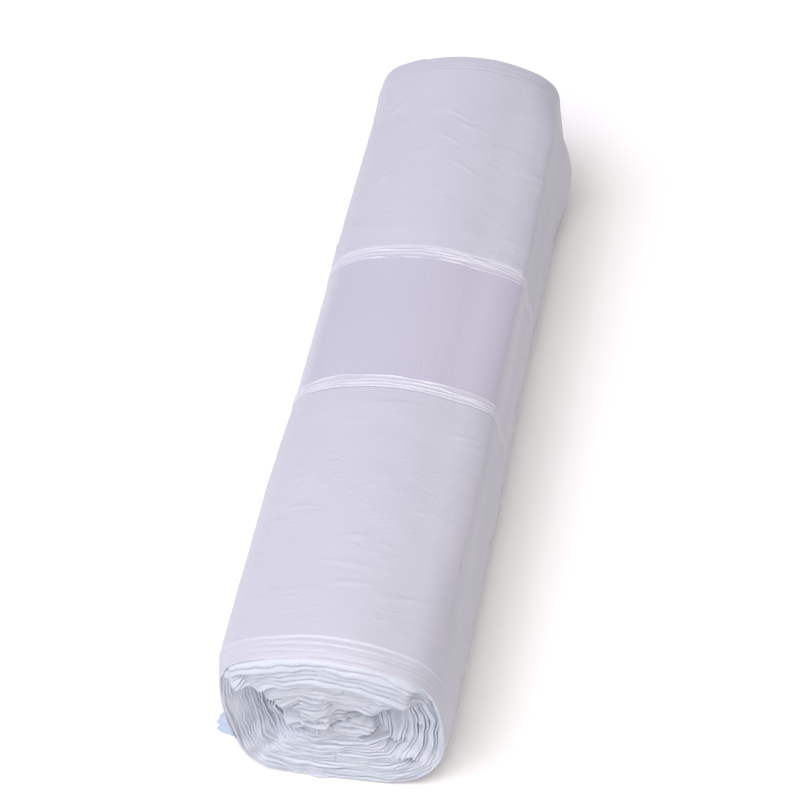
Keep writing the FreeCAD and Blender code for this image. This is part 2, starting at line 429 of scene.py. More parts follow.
@dataclass(frozen=True)
class FilmFinish:
    """Polyethylene film, with its lengths and heights in millimetres.

    Its fine creases run round the roll, so they are short along Y, and they lie in patches. A finish
    with a bunched colour turns to it where the mesh's attribute says that film lies bunched.
    """

    name: str
    light: str
    shade: str
    roughness: float
    crease_along: float
    crease_around: float
    crease_height: float
    grain_height: float
    glow: float
    bunched: str = ""
    crease_from: float = 0.45
    crease_to: float = 0.8
    patch: float = 17.0
    patch_range: tuple = (0.42, 0.6)
    patch_least: float = 0.2
    grain: float = 1.6
    tint_along: float = 35.0
    tint_around: float = 22.0
    glow_depth: float = 1.5
    ior: float = 1.51

    def stretched(
        self,
        tree: bpy.types.NodeTree,
        places: bpy.types.NodeSocket,
        along: float,
        around: float,
    ) -> bpy.types.NodeSocket:
        """Scales the object's coordinates for a pattern.

        Args:
            tree: the material's node tree.
            places: the object's coordinates.
            along: the pattern's size along the roll, in millimetres.
            around: its size across and up.

        Returns:
            The coordinates counted in those sizes.
        """
        sizes = (around, along, around)
        mapping = add_node(tree, "ShaderNodeMapping", inputs={
            "Vector": places,
            "Scale": tuple(1 / (size * METRES) for size in sizes),
        })
        return mapping.outputs["Vector"]

    def build(self) -> bpy.types.Material:
        """Makes the material.

        Returns:
            The material.
        """
        material, tree, places = new_tree(self.name)
        tint = add_node(tree, "ShaderNodeTexNoise", inputs={
            "Vector": self.stretched(tree, places, self.tint_along, self.tint_around),
            "Scale": 1.0,
            "Detail": 2.0,
        })
        colour = add_node(tree, "ShaderNodeMix", {"data_type": "RGBA"}, {
            0: tint.outputs["Fac"],
            6: linear(self.shade),
            7: linear(self.light),
        })
        shown = colour.outputs[2]
        if self.bunched:
            bunch = add_node(tree, "ShaderNodeAttribute", {"attribute_name": "bunched"})
            whiter = add_node(tree, "ShaderNodeMix", {"data_type": "RGBA"}, {
                0: bunch.outputs["Fac"],
                6: shown,
                7: linear(self.bunched),
            })
            shown = whiter.outputs[2]
        crease = add_node(tree, "ShaderNodeTexNoise", inputs={
            "Vector": self.stretched(tree, places, self.crease_along, self.crease_around),
            "Scale": 1.0,
            "Detail": 3.0,
            "Roughness": 0.55,
            "Distortion": 1.0,
        })
        sparse = add_node(tree, "ShaderNodeMapRange", {"interpolation_type": "SMOOTHSTEP"}, {
            "Value": crease.outputs["Fac"],
            "From Min": self.crease_from,
            "From Max": self.crease_to,
        })
        patch = add_node(tree, "ShaderNodeTexNoise", inputs={
            "Vector": places,
            "Scale": 1 / (self.patch * METRES),
            "Detail": 1.0,
        })
        spread = add_node(tree, "ShaderNodeMapRange", inputs={
            "Value": patch.outputs["Fac"],
            "From Min": self.patch_range[0],
            "From Max": self.patch_range[1],
            "To Min": self.patch_least,
            "To Max": 1.0,
        })
        patched = add_node(tree, "ShaderNodeMath", {"operation": "MULTIPLY"}, {
            0: sparse.outputs["Result"],
            1: spread.outputs["Result"],
        })
        creases = add_node(tree, "ShaderNodeBump", inputs={
            "Strength": 1.0,
            "Distance": self.crease_height * METRES,
            "Height": patched.outputs["Value"],
        })
        grain = add_node(tree, "ShaderNodeTexNoise", inputs={
            "Vector": places,
            "Scale": 1 / (self.grain * METRES),
            "Detail": 2.0,
        })
        bumps = add_node(tree, "ShaderNodeBump", inputs={
            "Strength": 1.0,
            "Distance": self.grain_height * METRES,
            "Height": grain.outputs["Fac"],
            "Normal": creases.outputs["Normal"],
        })
        surface = add_node(tree, "ShaderNodeBsdfPrincipled", inputs={
            "Base Color": shown,
            "Roughness": self.roughness,
            "IOR": self.ior,
            "Normal": bumps.outputs["Normal"],
            "Subsurface Weight": self.glow,
            "Subsurface Radius": (1.0, 1.0, 1.1),
            "Subsurface Scale": self.glow_depth * METRES,
        })
        add_node(tree, "ShaderNodeOutputMaterial", inputs={"Surface": surface.outputs["BSDF"]})
        return material


# White high-density polyethylene, blown and wound: satin, with fine creases across the winding
BLOWN_SKIN = FilmFinish(
    name="hdpe_blown_film_wound",
    light="C7C6D2", shade="C0C0CD",
    roughness=0.42, crease_along=1.7, crease_around=4.5,
    crease_height=0.08, grain_height=0.012, glow=0.0, crease_from=0.5,
)

# The same film at its cut and folded edges, with a little glow; its colour is painted paler and bluer
# than the skin's: painted bluish light on the ends
BLOWN_EDGES_PAINTED_LIGHT = FilmFinish(
    name="hdpe_blown_film_edges_painted_light",
    light="CDD0DB", shade="C4C9D5",
    roughness=0.55, crease_along=2.5, crease_around=4.0,
    crease_height=0.08, grain_height=0.02, glow=0.2,
)

# One layer of it on its own, with a little glow; its blue is painted light: the bluish light on the
# roll's left, where it hangs
SINGLE_FILM_PAINTED_LIGHT = FilmFinish(
    name="hdpe_blown_film_single_painted_light",
    light="BCC8E2", shade="B4C1DF",
    roughness=0.5, crease_along=2.5, crease_around=4.0,
    crease_height=0.08, grain_height=0.03, glow=0.2,
)

# Linear low-density stretch film, pulled tight: smoother and glossier, with a lavender cast
STRETCH_BAND = FilmFinish(
    name="lldpe_stretch_film_band",
    light="C2BFCE", shade="BBB9CA",
    roughness=0.30, crease_along=30.0, crease_around=2.2,
    crease_height=0.05, grain_height=0.012, glow=0.0, bunched="D6D5DF",
)


@dataclass
class Crease:
    """Ridge in the film along a line on the unrolled skin, as section place and Y."""

    start: tuple[float, float]
    end: tuple[float, float]
    height: float = 0.22
    spread: float = 0.55

    def rise(self, place: float, y: float) -> float:
        """Height of the ridge at a spot of the skin.

        Args:
            place: length along the section.
            y: place along the roll.

        Returns:
            Height in millimetres.
        """
        ax, ay = self.start
        bx, by = self.end[0] - ax, self.end[1] - ay
        length = bx * bx + by * by
        share = ((place - ax) * bx + (y - ay) * by) / length
        if not 0.0 < share < 1.0:
            return 0.0
        off = math.hypot(place - ax - share * bx, y - ay - share * by)
        if off > 3 * self.spread:
            return 0.0
        return self.height * bell(off, 0.0, self.spread) * math.sin(math.pi * share)

    def span(self) -> tuple[float, float]:
        """Lowest and highest Y that the ridge reaches."""
        reach = 3 * self.spread
        return min(self.start[1], self.end[1]) - reach, max(self.start[1], self.end[1]) + reach


@dataclass
class Skin:
    """Outer turns of the roll: two closed shells that meet under the band."""

    section: Section
    form: Form
    finish: bpy.types.Material
    half_length: float = 125.0
    meeting_y: float = 3.0
    waist_low: float = -26.3
    waist_high: float = 33.0
    waist_inset: float = 0.95
    waist_shoulder: float = 0.3
    shoulder_reach: float = 11.0
    columns: int = 340
    row_pitch: float = 0.72
    rim_pitch: float = 0.26
    rim_zone: float = 9.0
    rim_wall: float = 0.7
    hollow_depth: float = 9.0
    rim_lines: tuple = (
        (6.6, 0.3), (5.4, 0.1), (4.6, 0.14), (3.7, 0.1), (3.0, 0.16), (2.1, 0.12), (1.2, 0.16),
    )
    far_line_share: float = 0.4
    line_width: float = 0.45
    line_wander: Waves = Waves(0.8, 24.0, 1.0, 24.0, 23.0)
    hollow_rows: tuple = (6.0, 3.5, 1.8, 0.8, 0.3)
    rim_round: tuple = ((0.06, 0.8), (0.0, 0.5), (0.06, 0.2))
    rim_wander: Waves = Waves(0.45, 20.0, 1.0, 20.0, 43.0)
    foot_setback: float = 0.8
    slack: Waves = Waves(0.3, 26.0, 38.0, 26.0, 3.1)
    bulges: Waves = Waves(0.10, 9.0, 7.0, 9.0, 7.7)
    wrinkles: Waves = Waves(1.0, 11.0, 2.0, 11.0, 11.3)
    wrinkles_on_top: float = 0.035
    wrinkles_on_side: float = 0.09
    gathers: Waves = Waves(0.5, 12.0, 1.0, 12.0, 5.9)
    puckers: Waves = Waves(0.16, 2.2, 9.0, 2.2, 19.0)
    pucker_reach: float = 4.0
    fold_place: float = -14.4
    fold_shift: float = 1.6
    fold_step: float = 0.4
    fold_wander: Waves = Waves(0.5, 1.0, 22.0, 1.0, 31.0)
    tuck_depth: float = 1.0
    tuck_height: float = 22.0
    tuck_reach: float = 14.0
    loose_creases: int = 150
    seed: int = 41
    creases: list[Crease] = field(default_factory=list)

    def __post_init__(self) -> None:
        """Places the creases: those that show from above, then random ones on the other sides."""
        self.creases = [
            Crease((-7.9, -34.0), (12.2, -31.4)),
            Crease((-4.0, -35.6), (8.0, -33.2), 0.16),
            Crease((19.3, -40.6), (33.4, -37.6)),
            Crease((22.0, -43.0), (34.0, -40.4), 0.18),
            Crease((13.7, -71.2), (25.5, -69.4)),
            Crease((-1.8, -83.6), (6.6, -82.4)),
            Crease((-7.0, -92.3), (8.6, -93.3)),
            Crease((-4.7, -100.6), (12.3, -97.9), 0.26),
            Crease((10.4, -102.5), (26.7, -99.2), 0.26),
            Crease((-4.2, 98.5), (6.9, 92.1)),
            Crease((-2.0, 94.0), (9.0, 88.0)),
            Crease((-5.7, 87.1), (6.0, 80.0), 0.16),
            Crease((2.0, 74.0), (14.4, 66.2), 0.16),
            Crease((-15.4, 107.0), (-23.0, 98.6), 0.3),
            Crease((-15.7, 67.4), (-23.0, 62.7), 0.3),
        ]
        draw = random.Random(self.seed)
        for _ in range(self.loose_creases):
            place = draw.uniform(-104.0, 104.0)
            y = draw.uniform(-116.0, 116.0)
            length = draw.uniform(5.0, 16.0)
            slope = draw.uniform(-0.22, 0.22)
            on_top = -20.0 < place < 22.0
            height = draw.uniform(0.03, 0.08) if on_top else draw.uniform(0.06, 0.2)
            end = (place + length, y + length * slope)
            self.creases.append(Crease((place, y), end, height, draw.uniform(0.4, 0.8)))

    def rows(self, end: End) -> list[tuple[float, float]]:
        """Rows of the shell from the hollow's floor, over the rim and back to under the band.

        Args:
            end: the end of the roll that the shell covers.

        Returns:
            Depth from the end and inset of every row.
        """
        if end is End.NEAR:
            waist = self.half_length + self.waist_low
            last = self.half_length + self.meeting_y
        else:
            waist = self.half_length - self.waist_high
            last = self.half_length - self.meeting_y
        rows = [(depth, self.rim_wall) for depth in (self.hollow_depth, *self.hollow_rows)]
        rows += [(depth, share * self.rim_wall) for depth, share in self.rim_round]
        depth = 0.25
        while depth < self.rim_zone:
            rows.append((depth, 0.0))
            depth += self.rim_pitch
        while depth < waist + 4.0:
            rows.append((depth, 0.0))
            depth += self.row_pitch
        rows += [(mix(depth, last, share), 0.0) for share in (0.3, 0.65, 1.0)]
        return rows

    def swell(self, end: End, spot: tuple, place: float, y: float, creases: list[Crease]) -> float:
        """How far the film stands out from the plain section.

        Args:
            end: the end of the roll that the shell covers.
            spot: x and z of the section at the place.
            place: length along the section from the middle of the top.
            y: place along the roll.
            creases: creases that may reach this row.

        Returns:
            Distance outwards, in millimetres.
        """
        x, z = spot
        depth = self.half_length - abs(y)
        rise = self.form.out(place, y) + self.slack.at(x, y, z)
        rise += self.bulges.at(x, y, z)
        on_side = ease(abs(place), 20.0, 34.0)
        rise += mix(self.wrinkles_on_top, self.wrinkles_on_side, on_side) * self.wrinkles.at(x, y, z)

        away = max(self.waist_low - y, y - self.waist_high, 0.0)
        if away > 0.0:
            drawn_in = 1 - ease(away, 0.0, self.shoulder_reach)
            rise -= self.waist_shoulder * (1 + self.gathers.at(x, 0.3, z)) * drawn_in
            rise += math.exp(-away / self.pucker_reach) * self.puckers.at(x, y, z)
        else:
            rise -= self.waist_inset

        share = 1.0 if end is End.NEAR else self.far_line_share
        for number, (line, step) in enumerate(self.rim_lines):
            wander = line + self.line_wander.at(x, 0.7 * number, z, 5 * number)
            rise -= step * share * ease(wander - depth, 0.0, self.line_width)

        fold = self.fold_place - self.fold_shift * ease(-y, 55.0, 70.0)
        fold += self.fold_wander.at(0.0, y, 0.0)
        if -40.0 < place < fold and away > 0.0:
            rise += self.fold_step * ease(fold - place, 0.0, 0.8) * (1 - ease(-place, 24.0, 38.0))
        for crease in creases:
            rise += crease.rise(place, y)
        if end is End.NEAR:
            tuck = bell(z, self.tuck_height, 12.0) * ease(-x, 24.0, 30.0)
            rise -= self.tuck_depth * tuck * ease(-depth, -self.tuck_reach, 0.0)
        return rise

    def shell(self, end: End) -> bmesh.types.BMesh:
        """Closed shell of the roll's skin from one end to under the band.

        Args:
            end: the end of the roll that the shell covers.

        Returns:
            The shell's mesh.
        """
        rows = self.rows(end)
        half = self.section.perimeter / 2
        near_creases: dict[int, list[Crease]] = {}
        for row, (depth, _) in enumerate(rows):
            y = end.value * (self.half_length - depth)
            reach = [crease for crease in self.creases if crease.span()[0] < y < crease.span()[1]]
            near_creases[row] = reach

        def place(share: float, row: int) -> tuple[float, float, float]:
            """Point of the shell.

            Args:
                share: share of the way round, from the middle of the underside.
                row: number of the row.

            Returns:
                x, y and z in millimetres.
            """
            depth, inset = rows[row]
            along = (share * 2 - 1) * half
            x, z, across, up = self.section.at(along)
            outer_depth = depth if inset == 0.0 else 0.25
            outer_y = end.value * (self.half_length - outer_depth)
            rise = self.swell(end, (x, z), along, outer_y, near_creases[row]) - inset
            wander = self.rim_wander.at(x, 0.0, z) + self.foot_setback * (1 - ease(z, 2.0, 14.0))
            y = end.value * (self.half_length - depth + wander * math.exp(-depth / 5))
            return (x + across * rise, y, max(z + up * rise, 0.0))

        sheet = film(self.columns, len(rows) - 1, place)
        close_ends(sheet)
        return sheet

    def build(self) -> list[bpy.types.Object]:
        """Makes both shells.

        Returns:
            The near and the far shell.
        """
        pieces = []
        for end in End:
            name = f"{end.name.lower()}_skin"
            pieces.append(make_piece(name, self.shell(end), self.finish, Slot.BAGS, "bag_roll"))
        return pieces


@dataclass(frozen=True)
class Dent:
    """Bulge or hollow in the end, at x and z, with its half sizes and how far it stands out."""

    x: float
    z: float
    half_width: float
    half_height: float
    out: float

    def at(self, x: float, z: float) -> float:
        """How far the end stands out at a place because of it."""
        return self.out * bell(x, self.x, self.half_width) * bell(z, self.z, self.half_height)


# Bulges and hollows of the near end, from its upper left to its lower right
NEAR_DENTS = (
    Dent(-25.3, 45.0, 1.9, 2.2, 3.6),
    Dent(-27.9, 50.0, 1.0, 1.6, -3.4),
    Dent(18.8, 31.0, 2.2, 8.0, -2.6),
    Dent(14.9, 30.0, 1.5, 5.0, 1.8),
    Dent(17.2, 21.5, 2.2, 1.2, 2.2),
    Dent(18.6, 15.0, 2.6, 1.2, 2.2),
    Dent(15.2, 19.0, 1.1, 1.4, -3.0),
    Dent(20.8, 12.6, 1.4, 1.3, -3.0),
    Dent(29.0, 31.0, 0.9, 11.0, -1.7),
)

# Where the near end's outer edges stand back and leave one smooth face of film
NEAR_FACES = (
    Dent(18.4, 30.0, 2.0, 7.0, 1.8),
    Dent(-29.0, 30.0, 1.3, 12.0, 0.5),
)

# Where the near end's film is crumpled most, as what is added to its crumpling
NEAR_CRUMPLES = (
    Dent(20.5, 41.0, 4.0, 2.6, 1.6),
    Dent(17.8, 20.0, 3.4, 3.0, 1.6),
    Dent(19.0, 14.5, 3.0, 2.2, 1.4),
)

# Where the near end's upper turns are pushed up into crests, and torn at their right
NEAR_CRESTS = (
    Dent(-7.3, 43.0, 2.9, 5.5, 2.8),
    Dent(1.6, 41.0, 2.9, 5.5, 2.8),
)
NEAR_TEAR = Dent(21.0, 42.0, 4.0, 2.6, 0.8)


@dataclass
class EndTurns:
    """Looser turns in a hollow end: one film wound from inside the skin to the flat core.

    Its free edge differs from layer to layer, counted from the skin inwards, and round the end, which
    is shared out between top, right, bottom and left. A plug behind it stands for the turns that are
    too close to see into, and crumpled film fills the core. The factors that multiply a layer's
    number only set its waves apart from the next one's.
    """

    section: Section
    finish: bpy.types.Material
    end: End
    turns: int = 19
    columns_per_turn: int = 260
    rows: int = 6
    wall: float = 0.95
    thickness: float = 0.5
    core_x: float = -1.0
    core_z: float = 28.0
    core_width: float = 27.0
    core_height: float = 11.0
    crowding: float = 1.1
    half_length: float = 125.0
    root_depth: float = 6.5
    plug_depth: float = 0.4
    slot_depth: float = 5.0
    plug_rings: int = 48
    plug_columns: int = 240
    fold_rings: int = 44
    fold_columns: int = 200
    outreach: float = 1.0
    seed: float = 2.0
    top_reach: tuple = (
        0.6, 2.5, 2.4, 3.0, 3.2, 4.1, 3.5, 3.7, 4.0, 4.2, 3.6,
        3.9, 4.2, 3.4, 3.9, 3.2, 3.6, 2.6, 1.8, 1.2, 0.8,
    )
    side_drop: tuple = (
        0.0, 0.1, 0.8, 0.1, 0.3, 1.4, 0.2, 0.1, 1.3, 0.2, 0.5,
        1.5, 0.1, 1.4, 0.2, 1.6, 0.2, 1.5, 0.2, 1.3, 0.4,
    )
    core_drop: float = 0.75
    side_inset: float = 0.3
    left_hollow: float = 4.6
    left_return: float = 1.4
    right_hollow: float = 2.4
    foot_reach: float = 0.8
    foot_hollow: float = 1.0
    top_from_right: tuple = (24.0, 48.0)
    top_to_left: tuple = (126.0, 154.0)
    left_to_foot: tuple = (200.0, 226.0)
    foot_to_right: tuple = (-46.0, -22.0)
    quarter_waves: Waves = Waves(11.0, 5.0, 1.0, 5.0, 83.0)
    long_ripple: Waves = Waves(0.9, 11.0, 1.0, 11.0, 7.1)
    short_ripple: Waves = Waves(0.7, 4.2, 1.0, 4.2, 9.7)
    sway: Waves = Waves(1.1, 10.0, 8.0, 10.0, 51.0)
    crumple: Waves = Waves(0.42, 3.6, 8.0, 3.6, 57.0)
    lean_from: float = -0.3
    lean_length: float = 4.4
    lean_most: float = 1.2
    droop: float = 2.6
    ruffle_height: float = 1.15
    long_ruffle: Waves = Waves(1.0, 6.5, 1.0, 1.0, 103.0)
    short_ruffle: Waves = Waves(0.6, 2.6, 1.0, 1.0, 107.0)
    fold_x: float = -4.2
    fold_depth: float = 4.2
    fold_half_width: float = 5.2
    tear_waves: Waves = Waves(1.0, 1.4, 1.0, 3.0, 77.0)
    patches: Waves = Waves(1.0, 7.0, 1.0, 7.0, 17.0)
    fold_bend: Waves = Waves(1.4, 7.0, 1.0, 4.0, 91.0)
    large_folds: Waves = Waves(2.4, 8.0, 1.0, 2.5, 95.0)
    small_folds: Waves = Waves(2.4, 3.4, 1.0, 1.5, 99.0)
    slit_waves: Waves = Waves(0.6, 3.0, 1.0, 1.0, 13.0)
    folds_thickness: float = 0.2
    dents: tuple = NEAR_DENTS
    faces: tuple = NEAR_FACES
    crumples: tuple = NEAR_CRUMPLES

    def path(self, travel: float) -> tuple[float, float]:
        """Place of the film on its way in.

        Args:
            travel: number of turns wound so far.

        Returns:
            x and z.
        """
        share = min(travel / self.turns, 1.0) ** self.crowding
        bunching = ripple(travel / 2.4, 2.2 * math.sin(math.tau * travel), 0.0, self.seed + 3.3)
        share += 0.016 * bunching * math.sin(math.pi * share)
        x, z, across, up = self.section.at((travel % 1.0 + 0.5) * self.section.perimeter)
        x -= across * self.wall
        z -= up * self.wall
        reach_x = self.section.width / 2 - self.wall
        reach_z = self.section.height / 2 - self.wall
        core_x = self.core_x + x / reach_x * self.core_width / 2
        core_z = self.core_z + (z - self.section.height / 2) / reach_z * self.core_height / 2
        return mix(x, core_x, share), mix(z, core_z, share)

    def quarters(self, x: float, z: float) -> tuple[float, float, float, float]:
        """How far a place of the end belongs to each of its four sides.

        Args:
            x: place across the roll.
            z: height.

        Returns:
            Shares of top, right, bottom and left, which add up to 1.
        """
        rise = (z - self.core_z) / self.section.height
        angle = math.degrees(math.atan2(rise, (x - self.core_x) / self.section.width))
        angle += self.quarter_waves.at(x, 0.0, z, self.seed)
        if angle < -90:
            angle += 360
        from_right = ease(angle, *self.top_from_right)
        to_left = ease(angle, *self.top_to_left)
        top = from_right * (1 - to_left)
        left = to_left * (1 - ease(angle, *self.left_to_foot))
        right = (1 - from_right) * ease(angle, *self.foot_to_right)
        return top, right, 1 - top - right - left, left

    def edge(self, layer: int, x: float, shares: tuple) -> float:
        """How far a layer's edge stands out beyond the end of the roll, before any ripple.

        Args:
            layer: number of the layer, from the skin inwards.
            x: place across the roll.
            shares: shares of top, right, bottom and left.

        Returns:
            Distance in millimetres, less than 0 inside the roll.
        """
        top, right, bottom, left = shares
        inward = layer / self.turns
        reach = top * self.top_reach[layer] * self.outreach
        reach *= 1 - self.core_drop * ease(x, -0.5, 3.5) * ease(inward, 0.6, 0.8)
        hollow = self.left_hollow * ease(inward, 0.0, 0.6) - self.left_return * ease(inward, 0.6, 0.85)
        reach -= left * (self.side_inset + hollow)
        reach -= left * self.side_drop[layer] * ease(inward, 0.3, 0.7)
        reach -= right * (self.side_inset + self.right_hollow * inward + self.side_drop[layer])
        reach += bottom * (self.foot_reach - self.foot_hollow * inward)
        return reach

    def free_edge(self, travel: float, x: float, z: float, rippled: bool) -> float:
        """How far the film's free edge stands out beyond the end of the roll.

        Args:
            travel: number of turns wound so far.
            x: place across the roll.
            z: height.
            rippled: whether the layers' own ripples and the smooth faces count.

        Returns:
            Distance in millimetres, less than 0 inside the roll.
        """
        shares = self.quarters(x, z)
        layer = min(int(travel), self.turns)
        joined = travel - layer
        reach = 0.0
        for number, weight in ((layer, 1 - joined), (layer + 1, joined)):
            part = self.edge(number, x, shares)
            if rippled:
                part += self.long_ripple.at(x, 3.3 * number, z, self.seed)
                part += self.short_ripple.at(x, 5.3 * number, z, self.seed)
            reach += weight * part
        for dent in self.dents:
            reach += dent.at(x, z)
        if rippled:
            reach -= sum(face.at(x, z) for face in self.faces)
        return reach

    def warp(self, x: float, z: float, out: float, travel: float) -> tuple[float, float]:
        """Moves the film sideways.

        All layers share one sway and crumple more towards the core. On the near end the innermost
        sag in a V, and the upper layers rise in crests. Where upper layers stand out, they droop, and
        each has ruffles of its own.

        Args:
            x: place across the roll.
            z: height.
            out: how far the film stands out beyond the end of the roll.
            travel: number of turns wound so far.

        Returns:
            The new x and z.
        """
        inward = travel / self.turns
        inside = ease(inward, 0.0, 0.12)
        tangle = 1 + 1.2 * ease(inward, 0.6, 0.95) + sum(spot.at(x, z) for spot in self.crumples)
        top = self.quarters(x, z)[0]
        dx = self.sway.at(x, out, z, self.seed) + tangle * self.crumple.at(x, out, z, self.seed)
        dz = self.sway.at(x, out, z, self.seed + 16) + tangle * self.crumple.at(x, out, z, self.seed + 14)
        new_x = x + dx * inside
        new_z = z + dz * inside
        if self.end is End.NEAR:
            sag = max(0.0, 1 - abs(x - self.fold_x) / self.fold_half_width)
            new_z -= self.fold_depth * sag * ease(inward, 0.76, 0.92) * top
            new_z += sum(crest.at(x, z) for crest in NEAR_CRESTS)
            new_z += NEAR_TEAR.at(x, z) * self.tear_waves.at(x, 0.0, z)
        lean = min(max((out - self.lean_from) / self.lean_length, 0.0), self.lean_most)
        new_z -= self.droop * self.outreach * top * lean * ease(z, 30.0, 58.0)
        layer = int(travel)
        ruffle = self.long_ruffle.at(x, 3.7 * layer, 0.0, self.seed)
        ruffle += self.short_ruffle.at(x, 5.9 * layer, 0.0, self.seed)
        new_z += self.ruffle_height * ruffle * top * lean * ease(inward, 0.08, 0.3)
        return new_x, new_z

    def film_place(self, share: float, row: int) -> tuple[float, float, float]:
        """Point of the film.

        Args:
            share: share of the film's length, from the skin inwards.
            row: number of the row, from the root to the free edge.

        Returns:
            x, y and z in millimetres.
        """
        travel = mix(0.01, self.turns - 0.01, share)
        x, z = self.path(travel)
        out = mix(-self.root_depth, self.free_edge(travel, x, z, True), (row / self.rows) ** 0.7)
        x, z = self.warp(x, z, out, travel)
        return (x, self.end.value * (self.half_length + out), max(z, 0.15))

    def plug_place(self, share: float, row: int) -> tuple[float, float, float]:
        """Point of the plug's face, a little behind the free edge of the film.

        Args:
            share: share of the way round.
            row: number of the ring, from the skin inwards.

        Returns:
            x, y and z in millimetres.
        """
        travel = mix(0.0, self.turns - 0.02, row / self.plug_rings)
        layer = int(travel)
        x, z = self.path(layer + share * 0.9999)
        x_in, z_in = self.path(layer + 1 + share * 0.9999)
        x, z = mix(x, x_in, travel - layer), mix(z, z_in, travel - layer)
        patch = self.patches.at(x, 3.0, z, self.seed)
        depth = self.plug_depth + 1.4 * ease(patch, 0.25, 0.6)
        depth += 0.8 * bell(x, -17.0, 5.0) * bell(z, 24.0, 8.0)
        out = max(self.free_edge(travel, x, z, False) - depth, 0.2 - self.root_depth)
        x, z = self.warp(x, z, out, travel)
        return (x, self.end.value * (self.half_length + out), max(z, 0.2))

    def plug(self) -> bmesh.types.BMesh:
        """Makes the plug, closed behind and sunk at the core.

        Returns:
            The plug's mesh.
        """
        sheet = film(self.plug_columns, self.plug_rings, self.plug_place)
        rim = [edge for edge in sheet.edges if edge.is_boundary]
        grown = bmesh.ops.extrude_edge_only(sheet, edges=rim)["geom"]
        for vertex in (item for item in grown if isinstance(item, bmesh.types.BMVert)):
            at_core = abs(vertex.co.x) < 18 and abs(vertex.co.z - self.core_z) < 10
            depth = self.slot_depth if at_core else self.root_depth + 1.0
            vertex.co.y = self.end.value * (self.half_length - depth)
        close_ends(sheet)
        return sheet

    def folds_place(self, share: float, row: int) -> tuple[float, float, float]:
        """Point of the crumpled film at the core, with the near end's lip and slit.

        Args:
            share: share of the way round.
            row: number of the ring, from the middle outwards.

        Returns:
            x, y and z in millimetres.
        """
        radius = row / self.fold_rings
        angle = math.tau * share
        x = self.core_x + 0.5 * self.core_width * 1.04 * radius * math.cos(angle)
        z = self.core_z + 0.5 * self.core_height * 1.08 * radius * math.sin(angle)
        bend = self.fold_bend.at(x, 0.0, z, self.seed)
        large = 1 - abs(self.large_folds.at(x, 0.0, z + bend, self.seed))
        small = 1 - abs(self.small_folds.at(x + bend, 0.0, z, self.seed))
        out = -1.5 + 1.7 * large + 0.5 * small
        if self.end is End.NEAR:
            aside = abs(x - self.fold_x)
            lip = z - 25.2 - 1.25 * aside
            out += 2.4 * ease(lip, -0.25, 0.35) * (1 - ease(aside, 3.6, 5.4))
            slit = abs((z - 28.3) - 0.62 * (x - 1.0) + self.slit_waves.at(x, 0.0, 0.0))
            out -= 2.2 * (1 - ease(slit, 0.1, 0.7)) * ease(x, -1.5, 0.5) * (1 - ease(x, 4.5, 6.5))
        out = mix(out, 1.0 - self.root_depth, ease(radius, 0.93, 1.0))
        return (x, self.end.value * (self.half_length + out), z)

    def build(self) -> list[bpy.types.Object]:
        """Makes the turns, their plug and the crumpled film at the core.

        Returns:
            The three pieces.
        """
        end = self.end.name.lower()
        sheet = film(self.turns * self.columns_per_turn, self.rows, self.film_place)
        wound = make_piece(f"{end}_turns", sheet, self.finish, Slot.BAGS, "bag_roll")
        thicken(wound, self.thickness)
        plug = make_piece(f"{end}_close_turns", self.plug(), self.finish, Slot.BAGS, "bag_roll")
        sheet = film(self.fold_columns, self.fold_rings, self.folds_place)
        folds = make_piece(f"{end}_core_folds", sheet, self.finish, Slot.BAGS, "bag_roll")
        thicken(folds, self.folds_thickness)
        return [wound, plug, folds]


